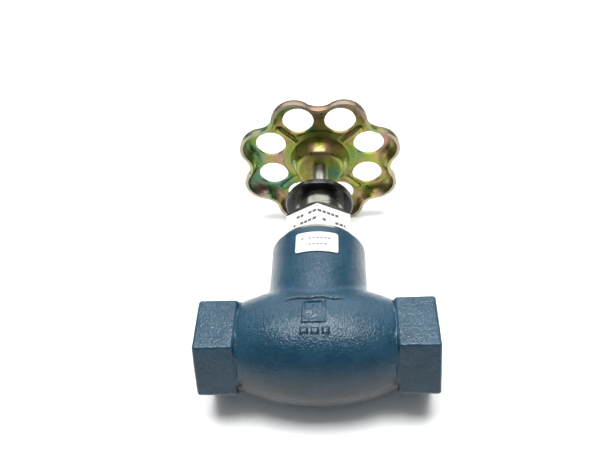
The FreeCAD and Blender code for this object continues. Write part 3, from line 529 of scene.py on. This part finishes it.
def make_casting():
    """A finely remeshed copy of the CAD body with its cast skin, kept inside the body's box."""
    draft = bpy.data.objects.new("draft", bpy.data.meshes.new_from_object(nodes["valve_body"]))
    bpy.context.scene.collection.objects.link(draft)
    remesh = draft.modifiers.new("skin", "REMESH")
    remesh.mode = "VOXEL"
    remesh.voxel_size = SKIN_VOXEL
    graph = bpy.context.evaluated_depsgraph_get()
    data = bpy.data.meshes.new_from_object(draft.evaluated_get(graph))
    bpy.data.objects.remove(draft)
    moved = [skin_point(vertex) for vertex in data.vertices]
    low, high = BODY
    for vertex, point in zip(data.vertices, moved):
        vertex.co = [min(max(value, least), most) for value, least, most in zip(point, low, high)]
    data.update()
    painted = new_object("painted_casting", data, enamel)
    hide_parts("valve_body")
    return painted


def make_bonnet():
    """The CAD bonnet with a hexagon chamfered flat under a straight stub, as it is turned."""
    data = bpy.data.meshes.new_from_object(nodes["bonnet"])
    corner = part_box("bonnet_label")[1].x * 2.0 / math.sqrt(3.0)
    for vertex in data.vertices:
        x, y, z = vertex.co
        radius = math.hypot(x, y)
        on_cone = HEX_TOP + 0.01 * MM < z < CONE_TOP + CONE_SHOULDER
        if radius > STUB_RADIUS - 0.02 * MM and on_cone:
            cut = min(max(corner - radius, 0.0), HEX_CHAMFER)
            vertex.co.z = HEX_TOP + cut * math.tan(HEX_CHAMFER_ANGLE)
    data.update()
    turned = new_object("turned_bonnet", data, bonnet_steel, "valve")
    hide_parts("bonnet")


def helix_sleeve(name, root, crest, back, length, pitch, axis, material, body):
    """A thread as a thin sleeve: plain on its back radius, ridged between root and crest.

    The sleeve runs along its own Z for length, then axis turns that onto the bore's direction.
    """
    around = 72
    rows = max(2, round(length / pitch * 6))
    mesh = bmesh.new()

    def ring(height, radius_at):
        corners = []
        for step in range(around):
            angle = 2.0 * math.pi * step / around
            radius = radius_at(step)
            corners.append(mesh.verts.new((radius * math.cos(angle), radius * math.sin(angle),
                                           height)))
        return corners

    grid = []
    for row in range(rows + 1):
        height = length * row / rows
        fade = min(1.0, height / pitch, (length - height) / pitch)

        def ridged(step):
            phase = (height / pitch + step / around) % 1.0
            return root + (crest - root) * (1.0 - abs(2.0 * phase - 1.0)) * fade

        grid.append(ring(height, ridged))
    backs = [ring(height, lambda step: back) for height in (0.0, length)]
    loops = [backs[0]] + grid + [backs[1]]
    for first, second in zip(loops, loops[1:] + loops[:1]):
        for step in range(around):
            follow = (step + 1) % around
            mesh.faces.new((first[step], first[follow], second[follow], second[step]))
    bmesh.ops.recalc_face_normals(mesh, faces=mesh.faces)
    mesh.transform(axis)
    data = bpy.data.meshes.new(name)
    mesh.to_mesh(data)
    mesh.free()
    new_object(name, data, material, body)


def make_threads():
    """The threads of both ports and of the stem's stud."""
    cut_iron = machined_iron()
    for name, side in (("inlet_thread", -1), ("outlet_thread", 1)):
        along = Matrix.Rotation(math.radians(90.0 * side), 4, "Y")
        start = Matrix.Translation((side * (HALF_RUN - PORT_LENGTH - 0.2 * MM), 0.0, 0.0))
        root = PORT_RADIUS + THREAD_DEPTH
        helix_sleeve(name, root, PORT_RADIUS, root + SLEEVE_BACK, PORT_LENGTH - 1.2 * MM,
                     THREAD_PITCH, start @ along, cut_iron, "valve")
    nut_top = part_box("wheel_nut")[1].z
    stud_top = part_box("stem")[1].z
    start = Matrix.Translation((0.0, 0.0, nut_top + 0.02 * MM))
    helix_sleeve("stud_thread", STUD_ROOT, STUD_CREST, STUD_BACK, stud_top - nut_top - 0.35 * MM,
                 STUD_PITCH, start, pale_zinc, "wheel")


casting = make_casting()
make_bonnet()
make_threads()


# ---- stage and light ----------------------------------------------------------------------

STAGE_SIZE = 6.0
TABLE_GAP = 0.1 * MM
LIGHT_AIM = Vector((0.0, 0.0, 0.04))


def one_sided(name, color, glow, near, far):
    """A matt surface that is clear from behind, so it never hides the valve in another view.

    It fades into the white backdrop between near and far from its middle.
    """
    material = bpy.data.materials.new(name)
    material.use_nodes = True
    tree = material.node_tree
    bsdf = tree.nodes["Principled BSDF"]
    bsdf.inputs["Base Color"].default_value = color
    bsdf.inputs["Roughness"].default_value = 0.7
    bsdf.inputs["Emission Color"].default_value = color
    bsdf.inputs["Emission Strength"].default_value = glow
    clear = tree.nodes.new("ShaderNodeBsdfTransparent")
    geometry = tree.nodes.new("ShaderNodeNewGeometry")
    place = tree.nodes.new("ShaderNodeTexCoord")
    reach = tree.nodes.new("ShaderNodeVectorMath")
    reach.operation = "LENGTH"
    tree.links.new(place.outputs["Object"], reach.inputs[0])
    fade = tree.nodes.new("ShaderNodeMapRange")
    fade.interpolation_type = "SMOOTHSTEP"
    fade.inputs["From Min"].default_value = near
    fade.inputs["From Max"].default_value = far
    tree.links.new(reach.outputs["Value"], fade.inputs["Value"])
    hidden = tree.nodes.new("ShaderNodeMath")
    hidden.operation = "MAXIMUM"
    tree.links.new(geometry.outputs["Backfacing"], hidden.inputs[0])
    tree.links.new(fade.outputs["Result"], hidden.inputs[1])
    blend = tree.nodes.new("ShaderNodeMixShader")
    tree.links.new(hidden.outputs[0], blend.inputs[0])
    tree.links.new(bsdf.outputs[0], blend.inputs[1])
    tree.links.new(clear.outputs[0], blend.inputs[2])
    tree.links.new(blend.outputs[0], tree.nodes["Material Output"].inputs["Surface"])
    return material


def stage_plane(name, centre, normal, color, glow, near, far):
    """A square plane of the stage, which isn't part of the valve."""
    half = STAGE_SIZE / 2.0
    corners = [(-half, -half, 0), (half, -half, 0), (half, half, 0), (-half, half, 0)]
    data = bpy.data.meshes.new(name)
    data.from_pydata(corners, [], [(0, 1, 2, 3)])
    data.materials.append(one_sided(name, color, glow, near, far))
    plane = bpy.data.objects.new(name, data)
    bpy.context.scene.collection.objects.link(plane)
    turn = normal.to_track_quat("Z", "Y").to_matrix().to_4x4()
    plane.matrix_world = Matrix.Translation(centre) @ turn
    plane.visible_shadow = False
    return plane


def soft_light(name, direction, distance, size, power):
    """A white area light that looks at the valve from a direction."""
    data = bpy.data.lights.new(name, "AREA")
    data.shape = "RECTANGLE"
    data.size = size[0]
    data.size_y = size[1]
    data.energy = power
    light = bpy.data.objects.new(name, data)
    bpy.context.scene.collection.objects.link(light)
    place = LIGHT_AIM + direction.normalized() * distance
    turn = (place - LIGHT_AIM).to_track_quat("Z", "Y").to_matrix().to_4x4()
    light.matrix_world = Matrix.Translation(place) @ turn
    return light


TABLE_TILT = math.radians(8.6)
TABLE_NORMAL = Vector((0.0, -math.cos(TABLE_TILT), math.sin(TABLE_TILT)))
bowl_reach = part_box("valve_body")[1].y
table = stage_plane("table", TABLE_NORMAL * -(bowl_reach + TABLE_GAP), TABLE_NORMAL,
                    rgb(0.93, 0.93, 0.92), glow=0.05, near=0.35, far=0.70)
floor = stage_plane("floor", Vector((0, 0, cad_low.z)), Vector((0, 0, 1)),
                    rgb(0.90, 0.90, 0.90), glow=0.55, near=0.10, far=0.40)
table.visible_diffuse = False
floor.visible_diffuse = False
floor.visible_glossy = False


ROOM_DARK_SIDE = Vector((0.08, -0.62, -0.78))
ROOM_FALL = {"From Min": 0.10, "From Max": 0.75, "To Min": 0.13, "To Max": 0.01}


def make_world():
    """A dim pale room, darkest where the main view is taken from, on a white backdrop."""
    world = bpy.data.worlds.new("room")
    bpy.context.scene.world = world
    world.use_nodes = True
    tree = world.node_tree
    background = tree.nodes["Background"]
    background.inputs["Color"].default_value = rgb(1.0, 1.0, 1.0)
    place = tree.nodes.new("ShaderNodeTexCoord")
    dot = tree.nodes.new("ShaderNodeVectorMath")
    dot.operation = "DOT_PRODUCT"
    dot.inputs[1].default_value = ROOM_DARK_SIDE.normalized()
    tree.links.new(place.outputs["Generated"], dot.inputs[0])
    fall = tree.nodes.new("ShaderNodeMapRange")
    fall.interpolation_type = "SMOOTHSTEP"
    for name, value in ROOM_FALL.items():
        fall.inputs[name].default_value = value
    tree.links.new(dot.outputs["Value"], fall.inputs["Value"])
    rays = tree.nodes.new("ShaderNodeLightPath")
    pick = tree.nodes.new("ShaderNodeMix")
    tree.links.new(rays.outputs["Is Camera Ray"], pick.inputs[0])
    tree.links.new(fall.outputs["Result"], pick.inputs[2])
    pick.inputs[3].default_value = 1.0
    tree.links.new(pick.outputs[0], background.inputs["Strength"])


make_world()
soft_light("ceiling", Vector((0.0, -0.60, 0.80)), 1.0, (1.3, 0.7), 6.0)
soft_light("lamp", Vector((0.0, -1.0, 0.08)), 1.1, (0.7, 0.40), 14.0)
soft_light("back_left", Vector((-0.75, 0.80, 0.35)), 1.2, (0.8, 0.8), 5.0)
soft_light("back_right", Vector((0.90, 0.45, 0.20)), 1.2, (0.8, 0.8), 6.0)
table_fill = soft_light("table_fill", TABLE_NORMAL, 1.5, (2.0, 2.0), 13.0)
lit = bpy.data.collections.new("lit_by_table_fill")
lit.objects.link(table)
table_fill.light_linking.receiver_collection = lit
blocking = bpy.data.collections.new("shades_table_fill")
blocking.objects.link(casting)
table_fill.light_linking.blocker_collection = blocking
bpy.context.scene.view_settings.view_transform = "Standard"
